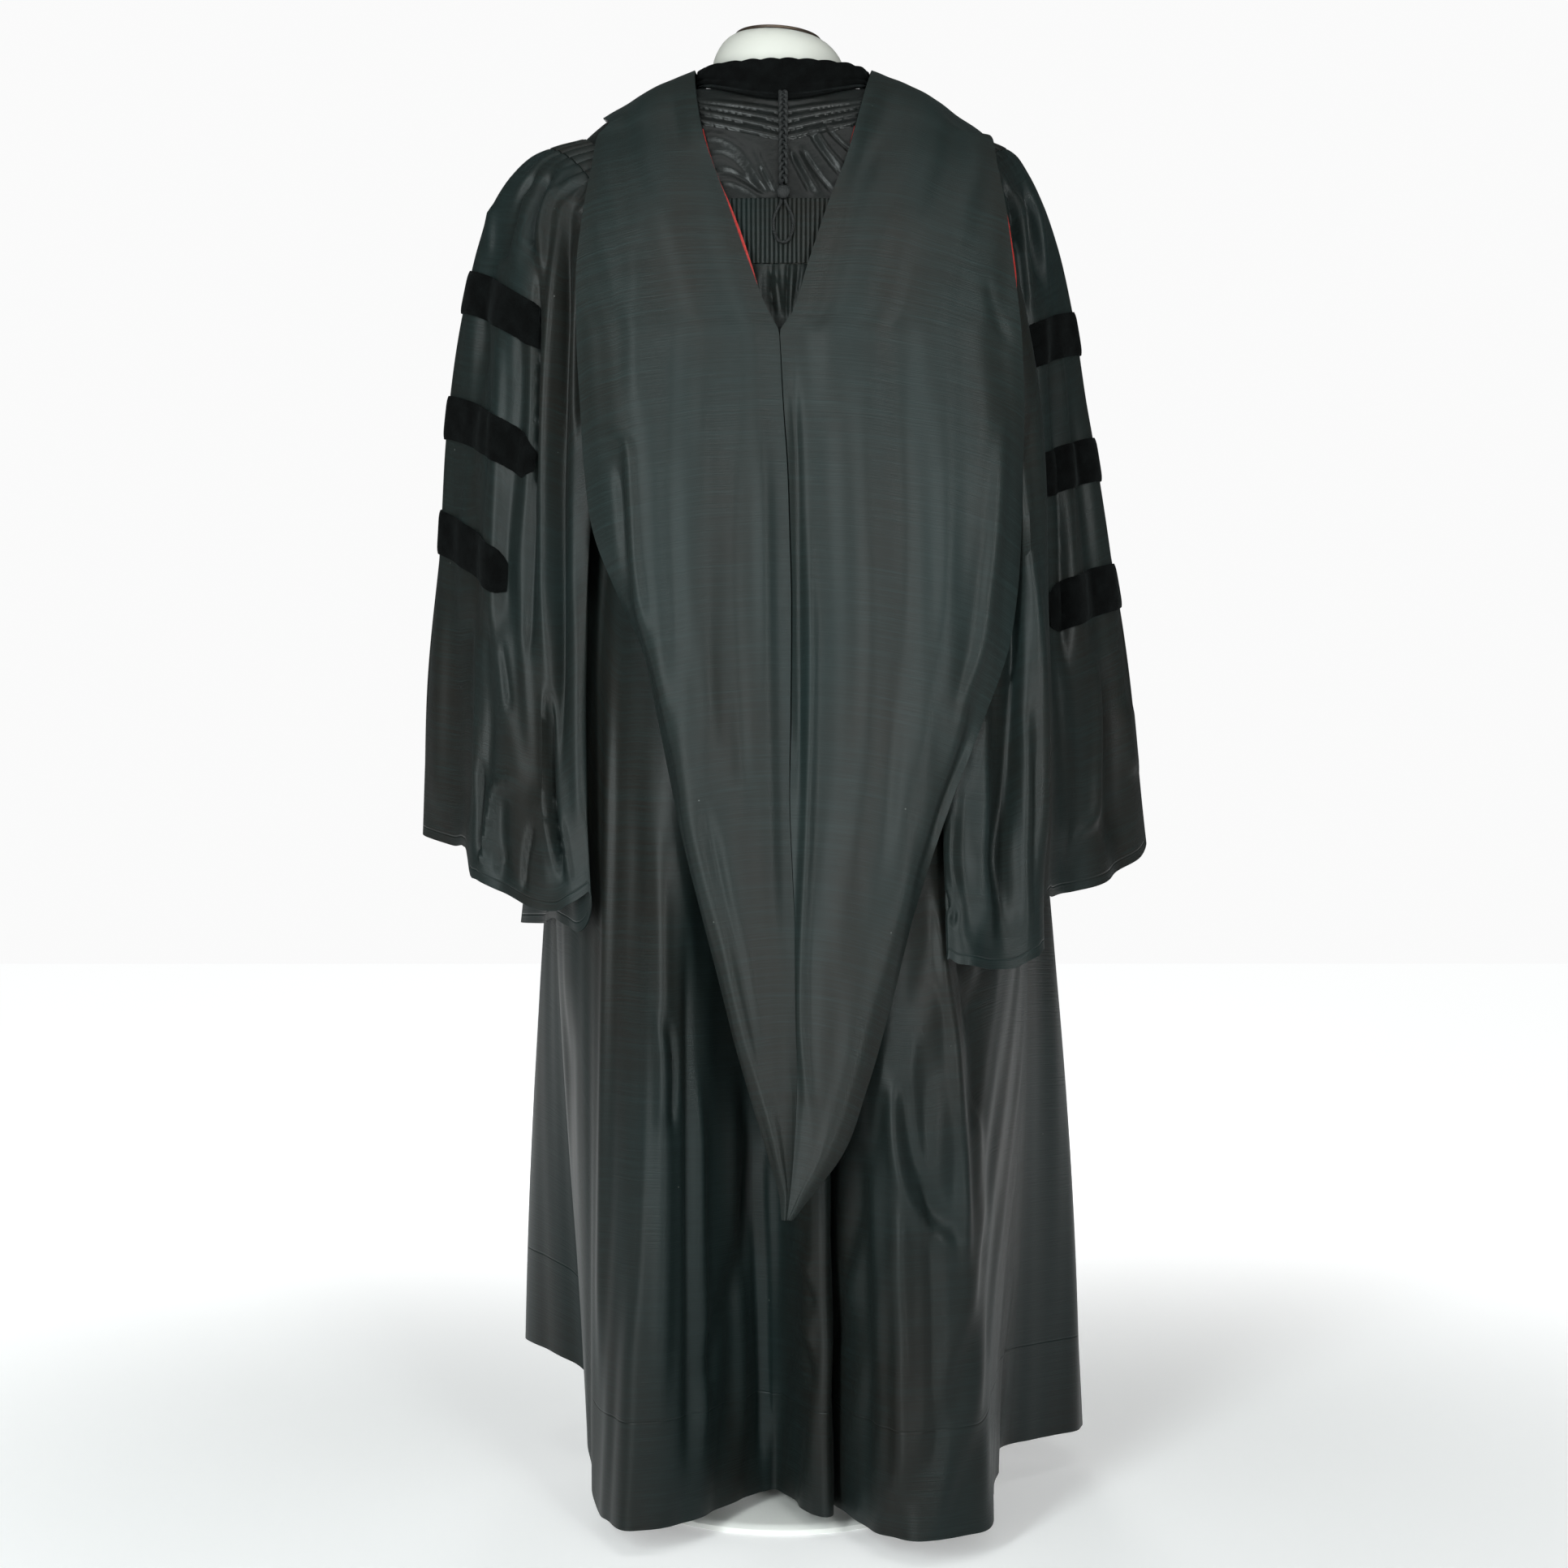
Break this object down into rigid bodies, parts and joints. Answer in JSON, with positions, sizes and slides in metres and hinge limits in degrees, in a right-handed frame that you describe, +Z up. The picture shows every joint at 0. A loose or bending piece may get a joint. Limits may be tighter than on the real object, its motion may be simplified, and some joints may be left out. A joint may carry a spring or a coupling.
{
  "type": "doctoral graduation gown with hood on a dress form",
  "caption": "Long black academic gown with bell sleeves, velvet bars and a pointed hood lined in red, worn on a white limbless dress form that stands on a round base.",
  "frame": {"origin": "centre of the underside of the stand's round base, on the floor", "axes": "+Z up; the gown's back faces -Y; +X is the wearer's right, the right side of the back view"},
  "size_m": [0.7232, 0.5083, 1.4523],
  "materials": {
    "black_cloth": "fine ribbed gown cloth, soft sheen",
    "black_faille": "ribbed hood cloth, soft sheen",
    "black_satin": "smooth, with a sharper sheen",
    "black_velvet": "deep pile, almost no shine",
    "black_braid": "twisted braid and cord",
    "red_lining": "smooth lining",
    "form_white": "smooth cream white",
    "cap_metal": "dark brown metal",
    "stand_white": "smooth off-white paint"
  },
  "bodies": {
    "root": {"gown_yoke": "black_satin", "gown_back_gathers": "black_cloth", "gown_back": "black_cloth", "gown_front_left": "black_cloth", "gown_front_right": "black_cloth", "sleeve_left": "black_cloth", "sleeve_right": "black_cloth", "sleeve_head_left": "black_cloth", "sleeve_head_right": "black_cloth", "velvet_neckband": "black_velvet", "velvet_facing_left": "black_velvet", "velvet_facing_right": "black_velvet", "sleeve_bar_left_1": "black_velvet", "sleeve_bar_left_2": "black_velvet", "sleeve_bar_left_3": "black_velvet", "sleeve_bar_right_1": "black_velvet", "sleeve_bar_right_2": "black_velvet", "sleeve_bar_right_3": "black_velvet", "yoke_braid": "black_braid", "yoke_button": "black_braid", "yoke_cord_loop": "black_braid", "hood_left": "black_faille", "hood_right": "black_faille", "hood_lining_left": "red_lining", "hood_lining_right": "red_lining", "hood_lining_side": "red_lining", "form_torso": "form_white", "form_neck_cap": "cap_metal", "form_pole": "stand_white", "form_base": "stand_white"}
  },
  "joints": []
}
